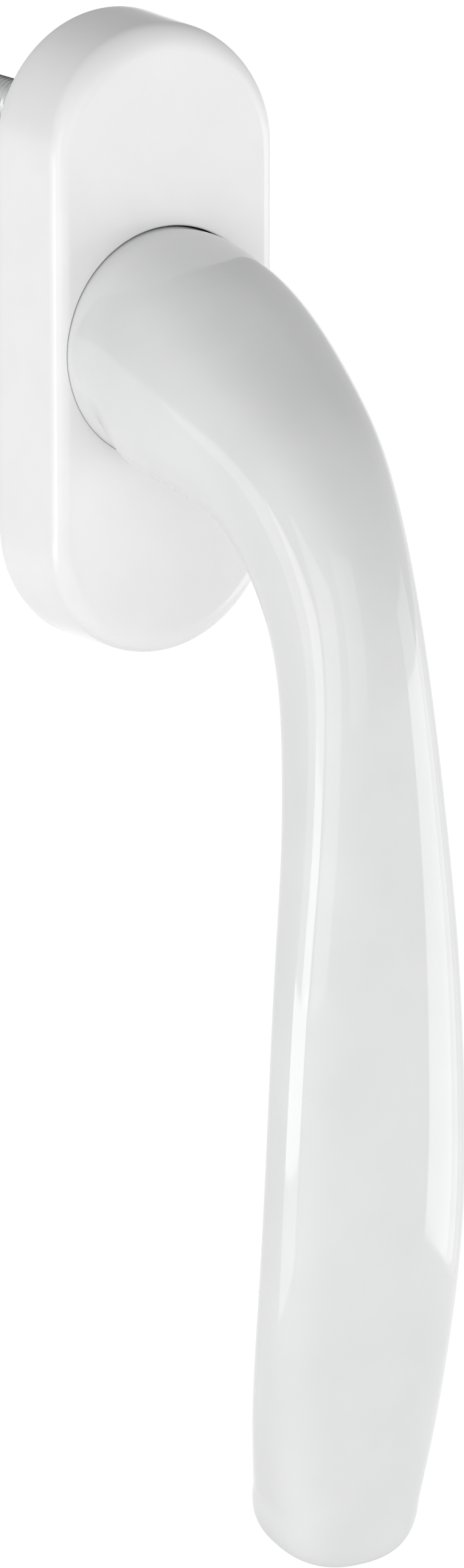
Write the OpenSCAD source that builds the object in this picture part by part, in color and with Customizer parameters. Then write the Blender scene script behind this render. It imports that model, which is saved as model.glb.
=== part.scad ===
// Tilt and turn window handle with an oblong rosette.
// Millimetres. +Z is up and the sash face is the plane Y = 0. The handle stands
// out towards -Y, and its spindle and screws run into the sash towards +Y.
// The origin is on the turning axis, in the sash face. The grip hangs down (closed).

/* [Rosette] */
// Width of the cover cap at its foot
rosette_w = 28.6; // [28.6:0.2:31]
// Height of the cover cap at its foot
rosette_h = 70; // [68:1:78]
// Depth of the cover cap, from the sash to its front face
rosette_d = 12; // [12:0.1:12.4]
// Radius of the cap's front edge
rosette_edge_r = 1.8; // [1:0.1:2.2]
// How much smaller the cap's front is than its foot, on each side
rosette_draft = 0.3; // [0.1:0.1:0.4]
// How far the cap can be drawn out along the neck to reach the screws
cover_travel = 3; // [1:0.5:3]

/* [Handle] */
// Diameter of the round neck where it leaves the rosette
neck_d = 25.2; // [24:0.2:25.2]
// Distance from the sash to the middle of the grip at its furthest
grip_reach = 51; // [47:1:58]
// Distance from the turning axis to the end of the grip
axis_to_tip = 127.5; // [115:0.5:140]
// Width of the grip at its widest
grip_w = 23.2; // [20:0.2:26]
// Thickness of the grip at its middle
grip_t = 13.6; // [12:0.2:16]

/* [Fixing] */
// Distance between the two screws
screw_spacing = 43; // [42:0.5:44]
// Length of the screws
screw_len = 40; // [30:5:60]
// Diameter of the locating lugs
lug_d = 10; // [9:0.5:11]
// Height of the locating lugs
lug_h = 2.5; // [1.5:0.5:4]
// Side of the square spindle
spindle_a = 7; // [7:0.1:7.4]
// How far the spindle stands out behind the sash face
spindle_out = 35; // [20:1:60]

/* [Detent] */
// Distance across the flats of the four-sided detent cam
cam_flats = 12; // [11.6:0.1:12]
// Diameter over the cam's rounded corners
cam_corners = 14.8; // [14:0.2:14.8]
// Thickness of a detent leaf spring
leaf_t = 0.45; // [0.3:0.05:0.5]

/* [Hidden] */

white = [0.93, 0.93, 0.925];
zinc = [0.66, 0.67, 0.69];
steel = [0.56, 0.57, 0.58];
acetal = [0.90, 0.89, 0.85];

// depths measured outwards from the sash face
cap_gap = 0.15;                       // foot of the cap above the sash
cap_side = 12.9;                      // half the inner width of the cap at the smallest width
cap_in_r = cap_side + (rosette_w - 28.6) / 2;
cap_c = (rosette_h - rosette_w) / 2;  // centres of the cap's round ends
cap_top = rosette_d - 1.3;            // inner face of the cap's front
flange_t = 3.2;                       // base plate flange
flange_r = cap_in_r - 0.4;
flange_c = cap_c - 1.2;
hub_r = 11.9;                         // round hub of the base plate
hub_top = 9.8;
collar_foot = 10.4;                   // foot of the handle's neck
collar_end = max(16, rosette_d + cover_travel + 1);  // the neck is a plain cylinder up to here
journal_r = 8;
bush_r = 9;
seat = 5.6;                           // rear face of the hub, where the washers bear
pocket_r = 10.6;
pocket_flat = 9.9;
spigot_r = 7;
pin_at = 12.6;                        // depth of the cross pin
rivet_at = 13.9;                      // rivets of the keeper plate, above and below the axis
neck_r = neck_d / 2;

// turns (x, up, outwards) into the model's frame
module wall() { rotate([90, 0, 0]) children(); }
module at(z) { translate([0, 0, z]) children(); }
module disc(r, z0, z1) { at(z0) cylinder(r = r, h = z1 - z0, $fn = 96); }
module ring(r0, r1, z0, z1) {
    difference() {
        disc(r1, z0, z1);
        disc(r0, z0 - 1, z1 + 1);
    }
}

// oblong plate with round ends, centres at +-c
module oblong(r, c, z0, z1) {
    at(z0) linear_extrude(z1 - z0) {
        translate([0, c]) circle(r = r, $fn = 96);
        translate([0, -c]) circle(r = r, $fn = 96);
        square([2 * r, 2 * c], center = true);
    }
}

/* ---- base ---- */

// zinc base plate: flange, round hub, two lugs on the back
module base_plate() color(zinc) wall() difference() {
    union() {
        oblong(flange_r - 0.4, flange_c, 0, flange_t);
        oblong(flange_r, flange_c, 0, flange_t - 0.5);
        disc(hub_r, flange_t - 0.1, hub_top - 0.4);
        at(hub_top - 0.4) cylinder(r1 = hub_r, r2 = hub_r - 0.4, h = 0.4, $fn = 96);
        for (s = [-1, 1]) translate([0, s * screw_spacing / 2, 0]) {
            disc(lug_d / 2, 0.4 - lug_h, 0.5);
            at(-lug_h) cylinder(r1 = lug_d / 2 - 0.4, r2 = lug_d / 2, h = 0.4, $fn = 96);
        }
    }
    // bore of the bush, then the pocket behind it
    disc(bush_r, seat - 1, hub_top + 1);
    intersection() {
        disc(pocket_r, -1, seat);
        translate([-20, -pocket_flat, -2]) cube([40, 2 * pocket_flat, 20]);
    }
    // shallow seat of the keeper plate, and its rivet holes
    oblong(11, 5.2, -0.01, 0.9);
    for (s = [-1, 1]) translate([0, s * rivet_at, 0]) disc(1.25, -1, flange_t + 1);
    // screw holes
    for (s = [-1, 1]) translate([0, s * screw_spacing / 2, 0]) {
        disc(2.7, -lug_h - 1, flange_t + 1);
        at(0.6) cylinder(r1 = 2.7, r2 = 5.4, h = 2.7, $fn = 96);
    }
    // sunk panels between the screw and the end of the flange
    for (s = [-1, 1]) translate([0, s * (flange_c + 7.4), 0])
        for (x = [-4.6, 4.6]) translate([x, 0, 0]) disc(1.6, flange_t - 0.8, flange_t + 1);
    // relief grooves that let the hub's sides be cast thin
    for (x = [-1, 1]) for (y = [-1, 1])
        translate([x * 9.4, y * 12.6, 0]) disc(1.5, flange_t - 0.8, flange_t + 1);
}

// acetal bush that the neck turns in
module neck_bush() color(acetal) wall() difference() {
    ring(journal_r + 0.03, bush_r - 0.01, seat, hub_top);
    for (a = [0 : 60 : 300]) rotate([0, 0, a]) translate([journal_r, 0, seat - 1])
        cylinder(r = 0.35, h = 10, $fn = 24);
}

// acetal washer between the hub and the neck, with grease grooves
module thrust_washer() color(acetal) wall() difference() {
    ring(journal_r + 0.15, 11.4, hub_top + 0.05, collar_foot - 0.05);
    for (a = [0 : 60 : 300]) rotate([0, 0, a])
        translate([9, -0.5, collar_foot - 0.25]) cube([4, 1, 1]);
}

// spring washer with three waves
function wave(a) = seat - 0.27 + 0.13 * cos(3 * a);
module wave_washer() color(steel) wall() {
    n = 60;
    pts = [for (i = [0 : n - 1]) let (a = i * 360 / n)
        for (k = [[8.25, -0.12], [9.75, -0.12], [9.75, 0.12], [8.25, 0.12]])
            [k[0] * cos(a), k[0] * sin(a), wave(a) + k[1]]];
    faces = [for (i = [0 : n - 1]) for (k = [0 : 3])
        let (j = (i + 1) % n, m = (k + 1) % 4)
        each [[4 * i + k, 4 * j + k, 4 * j + m], [4 * i + k, 4 * j + m, 4 * i + m]]];
    polyhedron(points = pts, faces = [for (f = faces) [f[0], f[2], f[1]]], convexity = 4);
}

// flat washer between the spring washer and the circlip
module shim_washer() color(steel) wall() ring(journal_r + 0.1, 9.7, 4.8, 5.05);

// acetal insert in the pocket: a window for the cam and four posts for the leaf springs
module spring_carrier() color([0.2, 0.2, 0.21]) wall() difference() {
    intersection() {
        disc(pocket_r - 0.15, 1, 3.15);
        translate([-20, -pocket_flat + 0.15, 0]) cube([40, 2 * pocket_flat - 0.3, 20]);
    }
    disc(7.75, 0, 5);
    difference() {
        translate([-8.4, -7.2, 0]) cube([16.8, 14.4, 5]);
        for (x = [-1, 1]) for (y = [-1, 1])
            translate([x * 7.6 - 1, y * 7 - 1, 0]) cube([2, 2, 5]);
    }
}

// flat leaf with rounded corners, lying along the cam's flat
module leaf() {
    half = 6.9;
    r = 0.4;
    translate([cam_flats / 2 + 0.02, 0, 2.07]) rotate([90, 0, 90]) linear_extrude(leaf_t) {
        square([2 * half, 1.75 - 2 * r], center = true);
        square([2 * half - 2 * r, 1.75], center = true);
        for (x = [-1, 1]) for (y = [-1, 1])
            translate([x * (half - r), y * (0.875 - r)]) circle(r = r, $fn = 32);
    }
}
module detent_spring_left() color(steel) wall() mirror([1, 0, 0]) leaf();
module detent_spring_right() color(steel) wall() leaf();

// steel plate that closes the pocket at the back
module keeper_plate() color(steel) wall() difference() {
    oblong(10.9, 5.2, 0.1, 0.9);
    disc(5.5, -1, 2);
    for (s = [-1, 1]) translate([0, s * rivet_at, 0]) disc(1.25, -1, 2);
}

// two rivets that hold the keeper plate
module keeper_rivets() color(steel) wall() for (s = [-1, 1]) translate([0, s * rivet_at, 0]) {
    disc(1.2, 0.15, flange_t + 0.2);
    difference() {
        at(flange_t + 0.6 - 2.6) sphere(r = 2.6, $fn = 64);
        translate([-5, -5, flange_t - 12]) cube([10, 10, 12]);
    }
}

// two countersunk screws with a cross recess
module fixing_screws() color(zinc) wall() for (s = [-1, 1])
    translate([0, s * screw_spacing / 2, 0]) difference() {
        union() {
            // threaded length, then the plain neck through the lug
            disc(2.5, 3.1 - screw_len + 1.2, -lug_h - 0.3);
            disc(2.25, -lug_h - 0.4, 0.4);
            at(3.1 - screw_len) cylinder(r1 = 1.4, r2 = 2.5, h = 1.2, $fn = 64);
            at(0.25) cylinder(r1 = 2.25, r2 = 4.65, h = 2.4, $fn = 96);
            disc(4.65, 2.65, 3.1);
        }
        for (a = [45, 135]) rotate([0, 0, a]) {
            translate([-2.5, -0.45, 1.7]) cube([5, 0.9, 2]);
            translate([-1.4, -0.45, 0.7]) cube([2.8, 0.9, 2]);
        }
    }

/* ---- cover ---- */

// half section of the cap's outside: radius against depth, with the front edge rounded
function cap_profile(r) = concat([[0, cap_gap], [r, cap_gap]],
    [for (i = [0 : 8]) let (a = i * 90 / 8)
        [r - rosette_draft - rosette_edge_r * (1 - cos(a)),
         rosette_d - rosette_edge_r * (1 - sin(a))]],
    [[0, rosette_d]]);

module cap_body() {
    p = cap_profile(rosette_w / 2);
    for (s = [-1, 1]) translate([0, s * cap_c, 0]) rotate_extrude($fn = 120) polygon(p);
    rotate([90, 0, 0]) linear_extrude(2 * cap_c, center = true) {
        polygon(p);
        mirror([1, 0]) polygon(p);
    }
}

// oblong cover cap with the round hole for the neck
module cover_cap() color(white) wall() difference() {
    cap_body();
    oblong(cap_in_r, cap_c, -1, cap_top);
    disc(neck_r + 0.25, cap_top - 1, rosette_d + 1);
}

// spring clip inside one end of the cap: a plate under its front and a finger that grips the flange
module cap_clip() difference() {
    union() {
        oblong(cap_in_r - 0.1, cap_c, cap_top - 1.2, cap_top);
        for (x = [-6.5, 6.5]) translate([x - 0.5, 14.5, cap_top - 3]) cube([1, 15, 2]);
        intersection() {
            translate([0, cap_c, 0]) difference() {
                disc(cap_in_r - 0.1, 0.9, cap_top - 0.5);
                disc(cap_in_r - 1, 0, cap_top);
            }
            linear_extrude(20) polygon([[0, cap_c], [-9, cap_c + 15], [9, cap_c + 15]]);
        }
    }
    disc(13.3, 0, 20);
    translate([-20, -60, -1]) cube([40, 69, 30]);
    translate([0, screw_spacing / 2, 0]) disc(3.4, 0, 20);
}
module cap_clip_upper() color([0.86, 0.86, 0.84]) wall() cap_clip();
module cap_clip_lower() color([0.86, 0.86, 0.84]) wall() mirror([0, 1, 0]) cap_clip();

/* ---- handle ---- */

// scales that fit the grip's stations to the driving sizes
function so(v) = collar_end + (v - collar_end) * (grip_reach - collar_end) / 35;
function sd(v) = v * axis_to_tip / 127.5;
function sw(v) = v * grip_w / 23.2;
function st(v) = v * grip_t / 13.6;

// stations of the neck and grip: [outwards, down, tilt, half width, half thickness].
// A tilt of 0 faces the room and a tilt of 90 faces down.
stations = [
    [14, 0, 0, neck_r - 0.2, neck_r - 0.2],
    [collar_end + 0.2, 0, 0, neck_r, neck_r],
    [so(21.6), sd(2.8), 26, neck_r, neck_r * 0.968],
    [so(29), sd(5.7), 35, neck_r * 0.9, neck_r * 0.824],
    [so(39), sd(11.2), 50, sw(9), st(8.6)],
    [so(46.7), sd(24), 65, sw(7.5), st(7.7)],
    [so(50), sd(42), 78, sw(8.6), st(7)],
    [so(51), sd(63.5), 88, sw(10.6), st(6.8)],
    [so(50.5), sd(88.5), 92, sw(11.6), st(6.8)],
    [so(47.5), sd(109.5), 94, sw(10.8), st(7)],
    [so(45.1), sd(122.5), 102, sw(8.6), st(8)]];
grip_n = len(stations);
grip_sub = 4;      // rings between two stations
grip_sides = 40;   // points round a ring
tip_rings = 7;
tip_len = sd(5);

function knot(i) = i < 0 ? 2 * stations[0] - stations[1]
    : i >= grip_n ? 2 * stations[grip_n - 1] - stations[grip_n - 2] : stations[i];
function spline(i, t) = 0.5 * (2 * knot(i) + (knot(i + 1) - knot(i - 1)) * t
    + (2 * knot(i - 1) - 5 * knot(i) + 4 * knot(i + 1) - knot(i + 2)) * t * t
    + (3 * knot(i) - knot(i - 1) - 3 * knot(i + 1) + knot(i + 2)) * t * t * t);

// rings of the sweep, with the tip rounded off by a superellipse
function sweep() = concat(
    [for (i = [0 : grip_n - 2]) for (j = [0 : grip_sub - 1]) spline(i, j / grip_sub)],
    [stations[grip_n - 1]],
    [for (j = [1 : tip_rings]) let (e = stations[grip_n - 1], a = 89.5 * j / tip_rings,
            k = pow(cos(a), 2 / 3.6), f = pow(sin(a), 2 / 3.6) * tip_len)
        [e[0] + cos(e[2]) * f, e[1] + sin(e[2]) * f, e[2], e[3] * k, e[4] * k]]);

// power that makes a ring fuller than an ellipse, from round at the neck
function fullness(i) = 2 + 0.45 * min(1, i / (0.45 * (grip_n - 1) * grip_sub));
function spow(v, p) = sign(v) * pow(abs(v), p);
function ring_points(s, p) = [for (k = [0 : grip_sides - 1])
    let (a = k * 360 / grip_sides, u = s[3] * spow(cos(a), 2 / p), v = s[4] * spow(sin(a), 2 / p))
    [u, v * cos(s[2]) - s[1], s[0] + v * sin(s[2])]];

module grip_sweep() {
    rings = sweep();
    n = len(rings);
    m = grip_sides;
    points = [for (i = [0 : n - 1]) each ring_points(rings[i], fullness(i))];
    sides = [for (i = [0 : n - 2]) for (k = [0 : m - 1])
        let (a = i * m + k, b = i * m + (k + 1) % m)
        each [[a, a + m, b + m], [a, b + m, b]]];
    polyhedron(points = points, convexity = 6,
        faces = concat([[for (k = [0 : m - 1]) k]], sides,
            [[for (k = [m - 1 : -1 : 0]) (n - 1) * m + k]]));
}

// cast neck and grip in one piece, with the blind bore for the insert
module handle_grip() color(white) wall() difference() {
    union() {
        grip_sweep();
        disc(neck_r, collar_foot, collar_end);
    }
    disc(spigot_r + 0.02, collar_foot - 1, 15.5);
}

// turned steel journal with the square socket, pressed into the neck
module neck_insert() color(steel) wall() difference() {
    union() {
        disc(journal_r, 3.3, collar_foot);
        disc(spigot_r, collar_foot - 0.1, 15.3);
    }
    translate([-spindle_a / 2 - 0.03, -spindle_a / 2 - 0.03, 0])
        cube([spindle_a + 0.06, spindle_a + 0.06, 14]);
    ring(7.2, 9, 3.8, 4.7);
    at(pin_at) rotate([0, 90, 0]) cylinder(r = 1.25, h = 20, center = true, $fn = 48);
}

// four-sided cam that the leaf springs press on
module detent_cam() color(steel) wall() difference() {
    intersection() {
        translate([-cam_flats / 2, -cam_flats / 2, 1.15]) cube([cam_flats, cam_flats, 1.9]);
        disc(cam_corners / 2, 0, 5);
    }
    translate([-spindle_a / 2 - 0.03, -spindle_a / 2 - 0.03, 0])
        cube([spindle_a + 0.06, spindle_a + 0.06, 10]);
}

// external circlip with two eyes
module circlip() color(steel) wall() at(3.85) linear_extrude(0.8) difference() {
    union() {
        difference() {
            circle(r = 8.9, $fn = 96);
            circle(r = 7.25, $fn = 96);
            polygon([[0, 0], [-5.4, 20], [5.4, 20]]);
        }
        for (s = [-1, 1]) rotate(s * 20) translate([0, 8.5]) circle(r = 1, $fn = 48);
    }
    for (s = [-1, 1]) rotate(s * 20) translate([0, 8.5]) circle(r = 0.5, $fn = 48);
}

// square spindle with turned ends
module spindle() color(zinc) wall() difference() {
    intersection() {
        translate([-spindle_a / 2, -spindle_a / 2, -spindle_out])
            cube([spindle_a, spindle_a, spindle_out + 13.8]);
        union() {
            disc(6, 1.2 - spindle_out, 12.8);
            at(-spindle_out) cylinder(r1 = 3.4, r2 = 5.4, h = 1.3, $fn = 64);
            at(12.7) cylinder(r1 = 5.4, r2 = 3.6, h = 1.2, $fn = 64);
        }
    }
    at(pin_at) rotate([0, 90, 0]) cylinder(r = 1.25, h = 20, center = true, $fn = 48);
}

// slotted roll pin through the insert and the spindle
module spindle_pin() color(zinc) wall() at(pin_at) rotate([0, 90, 0]) difference() {
    cylinder(r = 1.23, h = 13.4, center = true, $fn = 48);
    cylinder(r = 0.75, h = 20, center = true, $fn = 48);
    translate([-0.2, 0, -10]) cube([0.4, 3, 20]);
}

base_plate();
neck_bush();
thrust_washer();
wave_washer();
shim_washer();
spring_carrier();
detent_spring_left();
detent_spring_right();
keeper_plate();
keeper_rivets();
fixing_screws();
cover_cap();
cap_clip_upper();
cap_clip_lower();
handle_grip();
neck_insert();
detent_cam();
circlip();
spindle();
spindle_pin();
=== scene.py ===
import math

import bpy
import bmesh
import numpy as np
from mathutils import Matrix, Vector


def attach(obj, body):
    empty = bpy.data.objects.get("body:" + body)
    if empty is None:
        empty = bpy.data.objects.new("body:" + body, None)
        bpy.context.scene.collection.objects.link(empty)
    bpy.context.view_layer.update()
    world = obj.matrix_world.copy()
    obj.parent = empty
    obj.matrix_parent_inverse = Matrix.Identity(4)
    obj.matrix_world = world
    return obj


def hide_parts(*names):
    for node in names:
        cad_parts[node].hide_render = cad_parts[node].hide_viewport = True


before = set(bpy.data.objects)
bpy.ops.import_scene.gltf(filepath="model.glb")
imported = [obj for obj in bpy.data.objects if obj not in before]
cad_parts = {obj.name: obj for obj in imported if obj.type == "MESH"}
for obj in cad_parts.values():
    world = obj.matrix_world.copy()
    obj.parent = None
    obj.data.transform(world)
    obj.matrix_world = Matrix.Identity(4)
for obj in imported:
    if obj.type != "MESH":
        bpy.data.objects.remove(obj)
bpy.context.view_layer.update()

MM = 0.001
scene = bpy.context.scene

# The shapes below use the part's own depths: x across, u up, d out of the sash (row frame (x, -d, u)), all in mm.


def to_row(points):
    p = np.asarray(points, float).reshape(-1, 3)
    return np.column_stack((p[:, 0], -p[:, 2], p[:, 1])) * MM


def make_object(name, verts, faces, sharp=None):
    """A mesh object from row-frame vertices in metres, smooth shaded, with edges over `sharp` degrees kept crisp."""
    mesh = bpy.data.meshes.new(name)
    mesh.from_pydata([tuple(v) for v in verts], [], [tuple(f) for f in faces])
    mesh.validate()
    bm = bmesh.new()
    bm.from_mesh(mesh)
    bmesh.ops.recalc_face_normals(bm, faces=bm.faces)
    bm.to_mesh(mesh)
    bm.free()
    mesh.shade_smooth()
    if sharp is not None:
        mesh.set_sharp_from_angle(angle=math.radians(sharp))
    obj = bpy.data.objects.new(name, mesh)
    scene.collection.objects.link(obj)
    return obj


def grid_faces(rows, cols, wrap_rows=False):
    faces = []
    for i in range(rows if wrap_rows else rows - 1):
        a, b = i * cols, ((i + 1) % rows) * cols
        for k in range(cols):
            m = (k + 1) % cols
            faces.append((a + k, a + m, b + m, b + k))
    return faces


# ---------------------------------------------------------------- handle

NECK_R = 12.70
COLLAR_FOOT = 10.4
COLLAR_END = 16.0
LIFT_CLEAR = 15.1
STATIONS = [
    [14, 0, 0, 12.4, 12.4],
    [16.2, 0, 0, 12.6, 12.6],
    [21.6, 2.8, 26, 12.6, 12.2],
    [29, 5.7, 35, 11.34, 10.38],
    [39, 11.2, 50, 9, 8.6],
    [46.7, 24, 65, 7.5, 7.7],
    [50, 42, 78, 8.6, 7],
    [51, 63.5, 88, 10.6, 6.8],
    [50.5, 88.5, 92, 11.6, 6.8],
    [47.5, 109.5, 94, 10.8, 7],
    [45.5, 120.5, 100.5, 8.9, 7.9],
]
TIP_LEN = 7.0
SIDES = 144


def catmull(points, sub):
    p = np.array(points, float)
    n = len(p)
    knots = np.vstack((2 * p[0] - p[1], p, 2 * p[-1] - p[-2]))
    out = []
    for i in range(n - 1):
        a, b, c, d = knots[i], knots[i + 1], knots[i + 2], knots[i + 3]
        for j in range(sub):
            t = j / sub
            out.append(0.5 * (2 * b + (c - a) * t + (2 * a - 5 * b + 4 * c - d) * t * t + (3 * b - a - 3 * c + d) * t**3))
    out.append(p[-1])
    return np.array(out)


def grip_rows():
    """The sweep's rings, [out, down, tilt, half width, half thickness, fullness], evenly spaced and smoothed along the sweep."""
    sub = 32
    raw = catmull(STATIONS, sub)
    n = len(STATIONS) - 1
    full = 2 + 0.45 * np.minimum(1, np.arange(len(raw)) / (0.45 * n * sub))
    raw = np.column_stack((raw, full))
    s = np.concatenate(([0], np.cumsum(np.hypot(np.diff(raw[:, 0]), np.diff(raw[:, 1])))))
    step = 0.5
    t = np.arange(0, s[-1] + 1e-6, s[-1] / round(s[-1] / step))
    even = np.column_stack([np.interp(t, s, raw[:, k]) for k in range(6)])
    sigma = 3.0 / step
    half = int(3 * sigma)
    kernel = np.exp(-0.5 * (np.arange(-half, half + 1) / sigma) ** 2)
    kernel /= kernel.sum()
    smooth = even.copy()
    for k in range(6):
        v = even[:, k]
        pad = np.concatenate((2 * v[0] - v[half:0:-1], v, 2 * v[-1] - v[-2:-half - 2:-1]))
        smooth[:, k] = np.convolve(pad, kernel, "valid")
    return smooth


def build_handle():
    rows = grip_rows()
    th = np.linspace(0, 2 * np.pi, SIDES, endpoint=False)
    c, s = np.cos(th), np.sin(th)

    def ring(out, down, tilt, w, h, p):
        cu, su = np.sign(c) * np.abs(c) ** (2 / p), np.sign(s) * np.abs(s) ** (2 / p)
        tr = math.radians(tilt)
        return np.column_stack((w * cu, h * su * math.cos(tr) - down, out + h * su * math.sin(tr)))

    def circle(r, d):
        return np.column_stack((r * c, r * s, np.full(SIDES, d)))

    rings = []
    # blind bore from its end to the foot, then the foot and the collar
    for r, d in ((1.0, 15.5), (3.0, 15.5), (5.0, 15.5), (6.6, 15.5), (6.9, 15.42), (7.02, 15.2), (7.02, 13), (7.02, 10.75),
                 (7.1, 10.52), (7.3, 10.4), (9, 10.4), (11, 10.4), (12.3, 10.4), (12.48, 10.45), (12.61, 10.58), (NECK_R, 10.75),
                 (NECK_R, 11.3), (NECK_R, 11.8), (NECK_R, 12.2), (NECK_R, 12.6), (NECK_R, 13.0), (NECK_R, 13.4), (NECK_R, 13.8)):
        rings.append(circle(r, d))
    for row in rows:
        if row[0] > 14.3 or row[1] > 0.05:
            w, h = row[3], row[4]
            # the sweep leaves the plain collar without a step
            k = min(1.0, max(0.0, (row[0] - 14.3) / 3.0)) if row[1] < 1 else 1.0
            rings.append(ring(row[0], row[1], row[2], w * k + NECK_R * (1 - k), h * k + NECK_R * (1 - k), row[5]))
    e = rows[-1]
    n = 26
    for j in range(1, n + 1):
        a = math.radians(89.2 * j / n)
        k, f = math.cos(a) ** (2 / 3.0), math.sin(a) ** (2 / 3.0) * TIP_LEN
        tr = math.radians(e[2])
        lean = 0.35 * e[4] * (1 - k)  # the back rounds off earlier than the front
        rings.append(ring(e[0] + math.cos(tr) * f + math.sin(tr) * lean, e[1] + math.sin(tr) * f - math.cos(tr) * lean,
                          e[2], e[3] * k, e[4] * k, e[5]))
    rows = np.vstack(rings)
    # the neck stays inside the cap's hole as far as the cap lifts, and swells only beyond that
    beyond = np.maximum(0.0, rows[:, 2] - LIFT_CLEAR)
    radius = np.hypot(rows[:, 0], rows[:, 1])
    over = radius - (NECK_R + 0.6 * beyond**2)
    soft = 0.3 * np.minimum(1.0, beyond)
    cut = 0.5 * (over + np.sqrt(over**2 + soft**2))
    cut[rows[:, 2] < 13.9] = 0.0
    rows[:, :2] *= (1 - cut / np.maximum(radius, 1e-6))[:, None]
    verts = to_row(rows)
    faces = grid_faces(len(rings), SIDES)
    m = len(verts)
    start = verts[:SIDES].mean(0)
    end = verts[-SIDES:].mean(0)
    verts = np.vstack((verts, start, end))
    last = (len(rings) - 1) * SIDES
    for k in range(SIDES):
        faces.append((k, m, (k + 1) % SIDES))
        faces.append((last + k, last + (k + 1) % SIDES, m + 1))
    obj = make_object("grip_casting", verts, faces, sharp=50)
    return obj


# ---------------------------------------------------------------- cover cap

CAP_R, CAP_C, CAP_D = 14.3, 20.7, 12.0
CAP_EDGE, CAP_DRAFT, CAP_IN, CAP_TOP, CAP_FOOT = 1.8, 0.3, 12.9, 10.7, 0.15
HOLE_R = 12.80
CAP_END_EXTRA = 1.0


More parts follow.
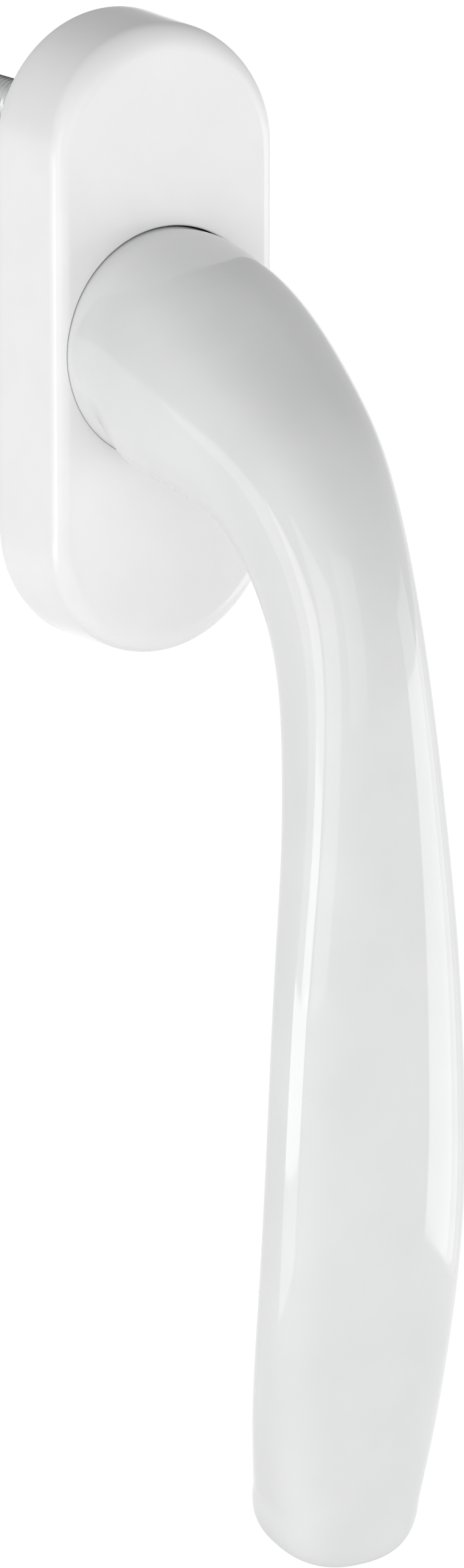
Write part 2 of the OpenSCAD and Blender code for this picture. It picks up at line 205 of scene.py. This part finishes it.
def build_cap():
    rays = []
    for sx, x0 in ((1, CAP_R),):
        for z in np.linspace(-CAP_C, CAP_C, 61)[:-1]:
            rays.append((x0, z))
        for a in np.linspace(0, np.pi, 121)[:-1]:
            rays.append((CAP_R * math.cos(a), CAP_C + CAP_R * math.sin(a)))
        for z in np.linspace(CAP_C, -CAP_C, 61)[:-1]:
            rays.append((-x0, z))
        for a in np.linspace(np.pi, 2 * np.pi, 121)[:-1]:
            rays.append((CAP_R * math.cos(a), -CAP_C + CAP_R * math.sin(a)))
    rays = np.array(rays)
    dirs = rays / np.linalg.norm(rays, axis=1)[:, None]

    def offset(rho, e):
        x, z = rho * e[0], rho * e[1]
        return math.hypot(x, max(0.0, abs(z) - CAP_C))

    def rho_of(D, e):
        ex, ez = abs(e[0]), abs(e[1])
        if ex > 1e-9 and D / ex * ez <= CAP_C:
            return D / ex
        return ez * CAP_C + math.sqrt(max(0.0, (ez * CAP_C) ** 2 - CAP_C**2 + D * D))

    def edge_of(e):
        # the front edge is rounder round the two ends than along the sides
        ez = abs(rho_of(CAP_R, e) * e[1])
        s = min(1.0, max(0.0, (ez - CAP_C) / CAP_R))
        return CAP_EDGE + CAP_END_EXTRA * s * s * (3 - 2 * s)

    def depth(D):
        if D <= flat:
            return CAP_D
        return CAP_D - edge * (1 - math.sqrt(max(0.0, 1 - ((D - flat) / edge) ** 2)))

    n_lip, n_face, n_wall = 6, 44, 8
    columns = []
    for e in dirs:
        edge = edge_of(e)
        flat = CAP_R - CAP_DRAFT - edge
        hole = HOLE_R + 0.04 * e[0] + 0.07 * e[1]
        lip = 0.07 + 0.20 * max(0.0, e[1]) ** 1.5
        col = []
        # hole wall, from the inner face up to the rounded lip
        rl = hole + lip
        dl = depth(offset(rl, e))
        for d in np.linspace(CAP_TOP + 0.1, dl - lip, 4):
            col.append((hole, d))
        for k in range(1, n_lip + 1):
            a = math.pi / 2 * k / n_lip
            rr = rl - lip * math.cos(a)
            col.append((rr, depth(offset(max(rr, hole), e)) - lip * (1 - math.sin(a))))
        # face and front edge, sampled by turning and by length
        D0 = offset(rl, e)
        path = [(D, depth(D)) for D in np.linspace(D0, max(D0, flat), 40)] if D0 < flat else [(D0, depth(D0))]
        a0 = math.asin(min(1.0, max(0.0, (max(D0, flat) - flat) / edge)))
        for a in np.linspace(a0, math.pi / 2, 60)[1:]:
            path.append((flat + edge * math.sin(a), CAP_D - edge * (1 - math.cos(a))))
        path = np.array(path)
        seg = np.diff(path, axis=0)
        length = np.linalg.norm(seg, axis=1)
        ang = np.arctan2(seg[:, 1], seg[:, 0])
        turn = np.concatenate(([0], np.abs(np.diff(ang))))
        cost = length / 20.0 + turn / 1.2 + 1e-6
        s = np.concatenate(([0], np.cumsum(cost)))
        t = np.linspace(0, s[-1], n_face + 1)[1:]
        DD = np.interp(t, s, path[:, 0])
        for D in DD:
            col.append((rho_of(D, e), depth(D) if D < CAP_R - CAP_DRAFT - 1e-9 else CAP_D - edge))
        # drafted wall down to the foot, then in under the foot
        d_top = CAP_D - edge
        for k in range(1, n_wall + 1):
            f = k / n_wall
            col.append((rho_of(CAP_R - CAP_DRAFT * (1 - f), e), d_top + (CAP_FOOT + 0.3 - d_top) * f))
        for k in range(1, 5):
            a = math.pi / 2 * k / 4
            col.append((rho_of(CAP_R - 0.3 * (1 - math.cos(a)), e), CAP_FOOT + 0.3 * (1 - math.sin(a))))
        for D in (CAP_R - 0.7, CAP_IN + 0.3):
            col.append((rho_of(D, e), CAP_FOOT))
        for k in range(1, 4):
            a = math.pi / 2 * k / 3
            col.append((rho_of(CAP_IN + 0.2 * (1 - math.sin(a)), e), CAP_FOOT + 0.2 * (1 - math.cos(a))))
        for d in np.linspace(1.2, CAP_TOP - 0.5, 5):
            col.append((rho_of(CAP_IN, e), d))
        inner = 0.5
        D_hole = offset(hole, e)
        for k in range(1, 6):
            a = math.pi / 2 * k / 5
            D = max(CAP_IN - inner * (1 - math.cos(a)), D_hole + 0.02 * (6 - k) / 6)
            col.append((rho_of(D, e), CAP_TOP - inner * (1 - math.sin(a))))
        r_in, r_out = hole + 0.1, col[-1][0]
        for f in (0.33, 0.66, 1.0):
            r = r_out + (r_in - r_out) * f
            if r_out < r_in:
                r = r_out + (hole + 0.01 - r_out) * f
            col.append((r, CAP_TOP))
        columns.append([(rho * e[0], rho * e[1], d) for rho, d in col])
    rows = len(columns[0])
    cols = len(columns)
    pts = np.array(columns).transpose(1, 0, 2).reshape(-1, 3)
    obj = make_object("rosette_cap", to_row(pts), grid_faces(rows, cols, wrap_rows=True), sharp=50)
    return obj


# ---------------------------------------------------------------- screws

SCREW_Z, SCREW_TOP, SCREW_LEN = 21.5, 3.1, 40.0


def lathe_screw():
    """One M5 screw in its own frame: x, y across and d along its axis; a rolled thread of 0.8 mm pitch."""
    n = 40
    pitch, r_major, r_minor = 0.8, 2.49, 2.08
    end = SCREW_TOP - SCREW_LEN
    th = np.linspace(0, 2 * np.pi, n, endpoint=False)
    rings = []

    def plain(r, d):
        rings.append([(r * math.cos(a), r * math.sin(a), d) for a in th])

    plain(0.9, end)
    plain(1.3, end)
    plain(1.5, end + 0.12)
    start, stop = end + 0.15, -2.8
    steps = int((stop - start) / 0.1143)
    for i in range(steps + 1):
        d = start + (stop - start) * i / steps
        ring = []
        for k, a in enumerate(th):
            ph = ((d / pitch) - a / (2 * np.pi)) % 1.0
            tri = 1 - abs(2 * ph - 1)
            prof = min(1.0, max(0.0, (tri - 0.12) / 0.76))
            r = r_minor + (r_major - r_minor) * prof
            cap = 1.5 + (d - start) * 0.8
            run = min(1.0, max(0.0, (stop - d) / 0.8))
            r = 2.2 * (1 - run) + r * run
            ring.append((min(r, cap) * math.cos(a), min(r, cap) * math.sin(a), d))
        rings.append(ring)
    for r, d in ((2.24, -2.6), (2.25, -2.4), (2.25, 0.1), (2.3, 0.25), (2.45, 0.42), (3.6, 1.58), (4.45, 2.44),
                 (4.62, 2.62), (4.65, 2.72), (4.65, 2.9), (4.6, 3.02), (4.48, 3.09), (4.3, 3.1), (3.4, 3.1), (2.6, 3.1)):
        plain(r, d)
    pts = [p for r in rings for p in r]
    faces = grid_faces(len(rings), n)
    m = len(pts)
    pts += [(0, 0, end), (0, 0, 3.1)]
    last = (len(rings) - 1) * n
    for k in range(n):
        faces.append((k, m, (k + 1) % n))
        faces.append((last + k, last + (k + 1) % n, m + 1))
    return pts, faces


def build_screws():
    pts, faces = lathe_screw()
    parts = []
    for s in (-1, 1):
        moved = [(x, y + s * SCREW_Z, d) for x, y, d in pts]
        obj = make_object("screw_tmp", to_row(moved), faces)
        # cross recess, tapered to its bottom: one solid with a cross outline at both ends
        bm = bmesh.new()
        loops = []
        for arm, half, d in ((1.2, 0.36, 1.1), (2.6, 0.52, 3.6)):
            outline = [(arm, -half), (arm, half), (half, half), (half, arm), (-half, arm), (-half, half),
                       (-arm, half), (-arm, -half), (-half, -half), (-half, -arm), (half, -arm), (half, -half)]
            q = math.sqrt(0.5)
            turned = [((x - y) * q, (x + y) * q + s * SCREW_Z, d) for x, y in outline]
            loops.append([bm.verts.new(v) for v in to_row(turned)])
        lo, hi = loops
        bm.faces.new(lo[::-1])
        bm.faces.new(hi)
        for k in range(12):
            bm.faces.new((lo[k], lo[(k + 1) % 12], hi[(k + 1) % 12], hi[k]))
        bmesh.ops.recalc_face_normals(bm, faces=bm.faces)
        cut_mesh = bpy.data.meshes.new("cut_tmp")
        bm.to_mesh(cut_mesh)
        bm.free()
        cutter = bpy.data.objects.new("cut_tmp", cut_mesh)
        scene.collection.objects.link(cutter)
        mod = obj.modifiers.new("recess", "BOOLEAN")
        mod.operation = "DIFFERENCE"
        mod.solver = "EXACT"
        mod.object = cutter
        dg = bpy.context.evaluated_depsgraph_get()
        done = bpy.data.meshes.new_from_object(obj.evaluated_get(dg))
        obj.modifiers.clear()
        obj.data = done
        bpy.data.objects.remove(cutter)
        parts.append(obj)
    bm = bmesh.new()
    for p in parts:
        bm.from_mesh(p.data)
    mesh = bpy.data.meshes.new("rosette_screws")
    bm.to_mesh(mesh)
    bm.free()
    for p in parts:
        bpy.data.objects.remove(p)
    mesh.materials.clear()
    mesh.shade_smooth()
    mesh.set_sharp_from_angle(angle=math.radians(38))
    obj = bpy.data.objects.new("rosette_screws", mesh)
    scene.collection.objects.link(obj)
    return obj


# ---------------------------------------------------------------- softened copies of CAD pieces


def soften(node, name, width, segments=3, angle=34, sharp=40):
    """A copy of a CAD node with its hard edges rounded by `width` mm."""
    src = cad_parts[node]
    bm = bmesh.new()
    bm.from_mesh(src.data)
    bmesh.ops.remove_doubles(bm, verts=bm.verts, dist=2e-6)
    bmesh.ops.dissolve_limit(bm, angle_limit=math.radians(0.5), verts=bm.verts, edges=bm.edges)
    mesh = bpy.data.meshes.new(name)
    bm.to_mesh(mesh)
    bm.free()
    obj = bpy.data.objects.new(name, mesh)
    scene.collection.objects.link(obj)
    mod = obj.modifiers.new("edges", "BEVEL")
    mod.width = width * MM
    mod.segments = segments
    mod.limit_method = "ANGLE"
    mod.angle_limit = math.radians(angle)
    mod.use_clamp_overlap = True
    mod.miter_outer = "MITER_ARC"
    dg = bpy.context.evaluated_depsgraph_get()
    done = bpy.data.meshes.new_from_object(obj.evaluated_get(dg))
    obj.modifiers.clear()
    done.materials.clear()
    obj.data = done
    done.name = name
    done.shade_smooth()
    done.set_sharp_from_angle(angle=math.radians(sharp))
    return obj


# ---------------------------------------------------------------- materials


class Mat:
    """Builds one Principled material with object-space procedural detail."""

    def __init__(self, name):
        self.mat = bpy.data.materials.new(name)
        self.mat.use_nodes = True
        self.nt = self.mat.node_tree
        self.nt.nodes.clear()
        self.out = self.nt.nodes.new("ShaderNodeOutputMaterial")
        self.bsdf = self.nt.nodes.new("ShaderNodeBsdfPrincipled")
        self.nt.links.new(self.bsdf.outputs["BSDF"], self.out.inputs["Surface"])
        self.coord = self.nt.nodes.new("ShaderNodeTexCoord").outputs["Object"]

    def set(self, **kw):
        for k, v in kw.items():
            self.bsdf.inputs[k.replace("_", " ")].default_value = v
        return self

    def link(self, a, b):
        self.nt.links.new(a, b)

    def scaled(self, sx, sy, sz):
        n = self.nt.nodes.new("ShaderNodeMapping")
        n.inputs["Scale"].default_value = (sx, sy, sz)
        self.link(self.coord, n.inputs["Vector"])
        return n.outputs["Vector"]

    def noise(self, size_mm, detail=2.0, rough=0.5, vector=None, distortion=0.0):
        n = self.nt.nodes.new("ShaderNodeTexNoise")
        n.inputs["Scale"].default_value = 1000.0 / size_mm
        n.inputs["Detail"].default_value = detail
        n.inputs["Roughness"].default_value = rough
        n.inputs["Distortion"].default_value = distortion
        self.link(vector if vector is not None else self.coord, n.inputs["Vector"])
        return n.outputs["Fac"]

    def ramp(self, fac, stops):
        n = self.nt.nodes.new("ShaderNodeValToRGB")
        cr = n.color_ramp
        while len(cr.elements) < len(stops):
            cr.elements.new(0.5)
        for e, (pos, col) in zip(cr.elements, stops):
            e.position = pos
            e.color = col if len(col) == 4 else (*col, 1)
        self.link(fac, n.inputs["Fac"])
        return n.outputs["Color"]

    def span(self, fac, lo, hi, f0=0.3, f1=0.7):
        n = self.nt.nodes.new("ShaderNodeMapRange")
        n.inputs["From Min"].default_value = f0
        n.inputs["From Max"].default_value = f1
        n.inputs["To Min"].default_value = lo
        n.inputs["To Max"].default_value = hi
        self.link(fac, n.inputs["Value"])
        return n.outputs["Result"]

    def math(self, op, a, b):
        n = self.nt.nodes.new("ShaderNodeMath")
        n.operation = op
        for i, v in enumerate((a, b)):
            if isinstance(v, (int, float)):
                n.inputs[i].default_value = v
            else:
                self.link(v, n.inputs[i])
        return n.outputs[0]

    def split(self):
        n = self.nt.nodes.new("ShaderNodeSeparateXYZ")
        self.link(self.coord, n.inputs["Vector"])
        return n.outputs

    def color_noise(self, fac, c0, c1, f0=0.3, f1=0.7):
        self.link(self.ramp(fac, [(f0, c0), (f1, c1)]), self.bsdf.inputs["Base Color"])
        return self

    def roughness(self, fac, lo, hi):
        self.link(self.span(fac, lo, hi), self.bsdf.inputs["Roughness"])
        return self

    def bump(self, height, strength, distance_mm, prev=None):
        n = self.nt.nodes.new("ShaderNodeBump")
        n.inputs["Strength"].default_value = strength
        n.inputs["Distance"].default_value = distance_mm * MM
        self.link(height, n.inputs["Height"])
        if prev is not None:
            self.link(prev, n.inputs["Normal"])
        self.link(n.outputs["Normal"], self.bsdf.inputs["Normal"])
        return n.outputs["Normal"]


def mat_white_coat():
    m = Mat("white_coat")
    m.set(IOR=1.58)
    m.color_noise(m.noise(9, 3), (0.738, 0.742, 0.742), (0.768, 0.771, 0.771))
    m.roughness(m.noise(6, 4), 0.045, 0.075)
    n = m.bump(m.noise(2.6, 1.5), 0.25, 0.012)
    m.bump(m.noise(0.5, 2), 0.12, 0.003, n)
    return m.mat


def mat_white_cap():
    m = Mat("white_cap")
    m.set(IOR=1.5)
    m.color_noise(m.noise(7, 3), (0.845, 0.85, 0.845), (0.873, 0.876, 0.871))
    m.roughness(m.noise(2.5, 4), 0.12, 0.18)
    n = m.bump(m.noise(0.28, 2.5, 0.6), 0.35, 0.010)
    m.bump(m.noise(4, 1), 0.1, 0.01, n)
    return m.mat


def mat_zinc_cast():
    m = Mat("zinc_cast")
    m.set(Metallic=1.0)
    m.color_noise(m.noise(3, 5, 0.65), (0.50, 0.51, 0.53), (0.64, 0.65, 0.67))
    m.roughness(m.noise(1.4, 5, 0.6), 0.34, 0.52)
    n = m.bump(m.noise(0.45, 4, 0.65), 0.35, 0.03)
    m.bump(m.noise(5, 2), 0.15, 0.08, n)
    return m.mat


def mat_zinc_plate():
    m = Mat("zinc_plate")
    m.set(Metallic=1.0)
    m.color_noise(m.noise(5, 3), (0.60, 0.62, 0.645), (0.69, 0.69, 0.675))
    m.roughness(m.noise(0.9, 4), 0.26, 0.38)
    n = m.bump(m.noise(1.0, 2, 0.5, m.scaled(1, 0.06, 1)), 0.12, 0.006)
    m.bump(m.noise(0.12, 2), 0.15, 0.003, n)
    return m.mat


def mat_drawn_bar_painted_shade():
    # the spindle's own dull version of the zinc plate finish, with its colour darkened as painted shade so that its
    # facets don't show up blown-out white
    m = Mat("zinc_plate_drawn_painted_shade")
    m.set(Metallic=1.0)
    m.color_noise(m.noise(4, 4, 0.6), (0.29, 0.30, 0.315), (0.37, 0.372, 0.37))
    m.roughness(m.noise(0.9, 4, 0.5, m.scaled(1, 0.1, 1)), 0.42, 0.55)
    # drawing marks run along the bar
    n = m.bump(m.noise(0.5, 3, 0.5, m.scaled(1, 0.03, 1)), 0.3, 0.006)
    m.bump(m.noise(0.2, 2), 0.15, 0.004, n)
    return m.mat


def mat_spring_steel():
    m = Mat("spring_steel")
    m.set(Metallic=1.0)
    m.color_noise(m.noise(2, 4), (0.36, 0.37, 0.385), (0.47, 0.47, 0.475))
    m.roughness(m.noise(0.6, 3, 0.5, m.scaled(1, 1, 0.08)), 0.22, 0.36)
    m.bump(m.noise(0.25, 2, 0.5, m.scaled(1, 1, 0.05)), 0.25, 0.004)
    return m.mat


def mat_turned_steel():
    m = Mat("turned_steel")
    m.set(Metallic=1.0)
    m.color_noise(m.noise(3, 3), (0.55, 0.555, 0.56), (0.63, 0.63, 0.63))
    m.roughness(m.noise(0.8, 3), 0.24, 0.34)
    # fine tool marks round the axis: rings along the depth
    m.bump(m.noise(0.18, 2, 0.5, m.scaled(0.04, 1, 0.04)), 0.3, 0.004)
    return m.mat


def mat_acetal_white():
    m = Mat("acetal_white")
    m.set(IOR=1.48)
    m.color_noise(m.noise(4, 2), (0.80, 0.79, 0.755), (0.84, 0.83, 0.80))
    m.roughness(m.noise(1.2, 3), 0.36, 0.48)
    m.bump(m.noise(0.5, 2), 0.12, 0.01)
    return m.mat


def mat_acetal_black():
    m = Mat("acetal_black")
    m.set(IOR=1.48)
    m.color_noise(m.noise(3, 2), (0.022, 0.022, 0.024), (0.034, 0.034, 0.036))
    m.roughness(m.noise(1.2, 3), 0.38, 0.5)
    m.bump(m.noise(0.4, 3), 0.2, 0.012)
    return m.mat


MATS = {
    "white_coat": mat_white_coat(),
    "white_cap": mat_white_cap(),
    "zinc_cast": mat_zinc_cast(),
    "zinc_plate": mat_zinc_plate(),
    "spring_steel": mat_spring_steel(),
    "turned_steel": mat_turned_steel(),
    "acetal_white": mat_acetal_white(),
    "acetal_black": mat_acetal_black(),
}


def finish_piece(obj, body, slot, *nodes):
    obj.data.materials.clear()
    obj.data.materials.append(MATS[slot])
    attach(obj, body)
    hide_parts(*nodes)


handle = build_handle()
finish_piece(handle, "handle", "white_coat", "handle_grip")
cap = build_cap()
finish_piece(cap, "cover", "white_cap", "cover_cap")
screws = build_screws()
finish_piece(screws, "base", "zinc_plate", "fixing_screws")

SOFT = [
    ("base_plate", "base_casting", "base", "zinc_cast", 0.22),
    ("keeper_plate", "keeper_pressing", "base", "zinc_plate", 0.10),
    ("spindle", "square_spindle", "handle", "zinc_plate", 0.25),
    ("cap_clip_upper", "spring_clip_upper", "cover", "acetal_white", 0.12),
    ("cap_clip_lower", "spring_clip_lower", "cover", "acetal_white", 0.12),
]
for node, name, body, slot, width in SOFT:
    obj = soften(node, name, width)
    finish_piece(obj, body, slot, node)
    # the spindle takes the darker copy of the zinc plate finish, whose darker colour is painted shade
    if node == "spindle":
        obj.data.materials[0] = mat_drawn_bar_painted_shade()

# carried-over CAD nodes keep their shape and get the real finish of their slot
node_slot = {}
for node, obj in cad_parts.items():
    if obj.hide_render:
        continue
    slot = {
        "neck_bush": "acetal_white", "thrust_washer": "acetal_white", "wave_washer": "spring_steel",
        "shim_washer": "spring_steel", "spring_carrier": "acetal_black", "detent_spring_left": "spring_steel",
        "detent_spring_right": "spring_steel", "keeper_rivets": "zinc_plate", "neck_insert": "turned_steel",
        "detent_cam": "turned_steel", "circlip": "spring_steel", "spindle_pin": "turned_steel", "base_plate": "zinc_cast",
    }.get(node, "zinc_plate")
    for i in range(max(1, len(obj.material_slots))):
        if len(obj.material_slots) <= i:
            obj.data.materials.append(MATS[slot])
        else:
            obj.material_slots[i].material = MATS[slot]

# ---------------------------------------------------------------- floor

FLOOR_Z = -0.45
mesh = bpy.data.meshes.new("studio_floor")
bm = bmesh.new()
bmesh.ops.create_circle(bm, cap_ends=True, segments=96, radius=30.0, matrix=Matrix.Translation((0, 0, FLOOR_Z)))
bm.to_mesh(mesh)
bm.free()
floor = bpy.data.objects.new("studio_floor", mesh)
scene.collection.objects.link(floor)
fm = Mat("studio_floor")
fm.color_noise(fm.noise(400, 2), (0.59, 0.59, 0.59), (0.61, 0.61, 0.61))
fm.roughness(fm.noise(300, 2), 0.8, 0.9)
fm.set(Specular_IOR_Level=0.0, Emission_Strength=1.0)
# the sweep glows as a luminous backdrop, with a painted shadow: it glows a little less right under the object than
# further out
sx, sy, _ = fm.split()
radius = fm.math("SQRT", fm.math("ADD", fm.math("MULTIPLY", sx, sx), fm.math("MULTIPLY", sy, sy)), 0)
GLOW_AND_PAINTED_SHADOW = ((0.4, 0.32), (0.78, 0.76), (1.8, 0.77))
SHADE_AZ, SHADE = 237, 0.33
glow_and_painted_shadow = fm.ramp(fm.math("MULTIPLY", radius, 0.5), [(r / 2, (v, v, v)) for r, v in GLOW_AND_PAINTED_SHADOW])
# and painted shade on the left side: less glow there, where the studio is darker
turn = math.radians(SHADE_AZ)
left = fm.math("DIVIDE", fm.math("ADD", fm.math("MULTIPLY", sx, math.sin(turn)), fm.math("MULTIPLY", sy, -math.cos(turn))),
               fm.math("MAXIMUM", radius, 0.001))
left = fm.math("MAXIMUM", left, 0.0)
# painted shade: the floor's glow falls off towards the left
shade = fm.math("SUBTRACT", 1.0, fm.math("MULTIPLY", fm.math("MULTIPLY", left, left), SHADE))
fm.link(fm.math("MULTIPLY", glow_and_painted_shadow, shade), fm.bsdf.inputs["Emission Color"])
floor.data.materials.append(fm.mat)

# ---------------------------------------------------------------- light

# Soft studio surround: radiance against the height of the direction, for four sides that blend into each other.
# "front" is the side the product camera stands on.
HEIGHTS = (0.0, 0.06, 0.20, 0.42, 0.70, 1.0)
SURROUND = {
    "front": (-33, (0.80, 0.93, 1.00, 0.90, 0.72, 0.60)),
    "right": (57, (0.80, 0.77, 0.56, 0.16, 0.02, 0.60)),
    "back": (147, (0.80, 0.58, 0.44, 0.34, 0.16, 0.60)),
    "left": (237, (0.80, 0.22, 0.11, 0.30, 0.64, 0.60)),
}
world = bpy.data.worlds.new("studio")
scene.world = world
world.use_nodes = True
nt = world.node_tree
nt.nodes.clear()
wo = nt.nodes.new("ShaderNodeOutputWorld")
bg = nt.nodes.new("ShaderNodeBackground")
tc = nt.nodes.new("ShaderNodeTexCoord")
sep = nt.nodes.new("ShaderNodeSeparateXYZ")
nt.links.new(tc.outputs["Generated"], sep.inputs[0])


def wmath(op, a, b=None):
    n = nt.nodes.new("ShaderNodeMath")
    n.operation = op
    for i, v in enumerate((a, b)):
        if isinstance(v, (int, float)):
            n.inputs[i].default_value = v
        elif v is not None:
            nt.links.new(v, n.inputs[i])
    return n.outputs[0]


wx, wy, wz = sep.outputs
flat = wmath("SQRT", wmath("MAXIMUM", wmath("ADD", wmath("MULTIPLY", wx, wx), wmath("MULTIPLY", wy, wy)), 1e-6))
hx, hy = wmath("DIVIDE", wx, flat), wmath("DIVIDE", wy, flat)
total = None
for side, (side_az, levels) in SURROUND.items():
    a = math.radians(side_az)
    facing = wmath("MAXIMUM", wmath("ADD", wmath("MULTIPLY", hx, math.sin(a)), wmath("MULTIPLY", hy, -math.cos(a))), 0.0)
    rp = nt.nodes.new("ShaderNodeValToRGB")
    els = rp.color_ramp.elements
    while len(els) < len(levels):
        els.new(0.5)
    for e, p, v in zip(els, HEIGHTS, levels):
        e.position = p
        e.color = (v, v, v, 1)
    nt.links.new(wz, rp.inputs["Fac"])
    part = wmath("MULTIPLY", rp.outputs["Color"], wmath("MULTIPLY", facing, facing))
    total = part if total is None else wmath("ADD", total, part)
nt.links.new(total, bg.inputs["Color"])
nt.links.new(bg.outputs["Background"], wo.inputs["Surface"])


def area(name, az, el, dist, w, h, power, target=(0, -0.03, -0.05), color=(1, 1, 1)):
    """A soft box `dist` metres from the target, seen from it at that azimuth (0 is in front, 90 to the right) and elevation."""
    a, e = math.radians(az), math.radians(el)
    d = Vector((math.sin(a) * math.cos(e), -math.cos(a) * math.cos(e), math.sin(e)))
    light = bpy.data.lights.new(name, "AREA")
    light.shape = "RECTANGLE"
    light.size, light.size_y = w, h
    light.energy = power
    light.color = color
    obj = bpy.data.objects.new(name, light)
    scene.collection.objects.link(obj)
    obj.location = Vector(target) + d * dist
    obj.rotation_mode = "QUATERNION"
    obj.rotation_quaternion = d.to_track_quat("Z", "Y")
    obj.visible_camera = False
    return obj


# power for a box of radiance L is L * area * pi * 4 / 4 in Blender's units
def radiance(L, w, h):
    return L * w * h * math.pi


def box(name, az, z, w, h, L, dist=0.50):
    """An upright soft box of radiance L whose middle is at height z."""
    return area(name, az, 0, dist, w, h, radiance(L, w, h), target=(0, -0.05, z))


# left: one tall box just behind the handle's side, which draws the long narrow highlight down the grip
# (narrower at the top, so that the highlight stops below the elbow)
box("left_top", -92, -0.03, 0.17, 0.08, 1.6)
box("left_upper", -92, -0.11, 0.17, 0.08, 3.0)
box("left_side", -111, -0.08, 0.17, 0.14, 0.6)
box("left_middle", -103, -0.19, 0.35, 0.08, 3.0)
box("left_bottom", -103, -0.28, 0.35, 0.10, 1.1)
# right: a broad box whose near edge is sharp and whose far side fades
box("right_near", 62, -0.12, 0.249, 0.42, 0.8)
box("right_middle", 69, -0.18, 0.384, 0.30, 0.8)
box("right_far", 76, -0.18, 0.532, 0.30, 0.3)
# front: two weak large boxes
area("front_high", -10, 18, 1.2, 0.7, 0.7, radiance(0.55, 0.7, 0.7), target=(0, -0.05, -0.06))
area("front_left", -60, 5, 1.2, 0.7, 0.7, radiance(0.80, 0.7, 0.7), target=(0, -0.05, -0.06))

# ---------------------------------------------------------------- camera

az, el = math.radians(-33.0), math.radians(15.3)
r = Vector((math.cos(az), math.sin(az), 0))
u = Vector((-math.sin(az) * math.sin(el), math.cos(az) * math.sin(el), math.cos(el)))
b = Vector((math.sin(az) * math.cos(el), -math.cos(az) * math.cos(el), math.sin(el)))
cam_data = bpy.data.cameras.new("camera")
cam = bpy.data.objects.new("camera", cam_data)
scene.collection.objects.link(cam)
cam.location = (r * 13.45 + u * -50.1 + b * 900.0) * MM
cam.rotation_mode = "QUATERNION"
cam.rotation_quaternion = Matrix((r, u, b)).transposed().to_quaternion()
cam_data.sensor_fit = "AUTO"
cam_data.sensor_width = 24.0
cam_data.lens = 24.0 * 900.0 / 170.8
cam_data.clip_start, cam_data.clip_end = 0.05, 60.0
scene.camera = cam

scene.view_settings.view_transform = "Standard"
scene.view_settings.look = "None"
scene.view_settings.exposure = 0.0
scene.view_settings.gamma = 1.0
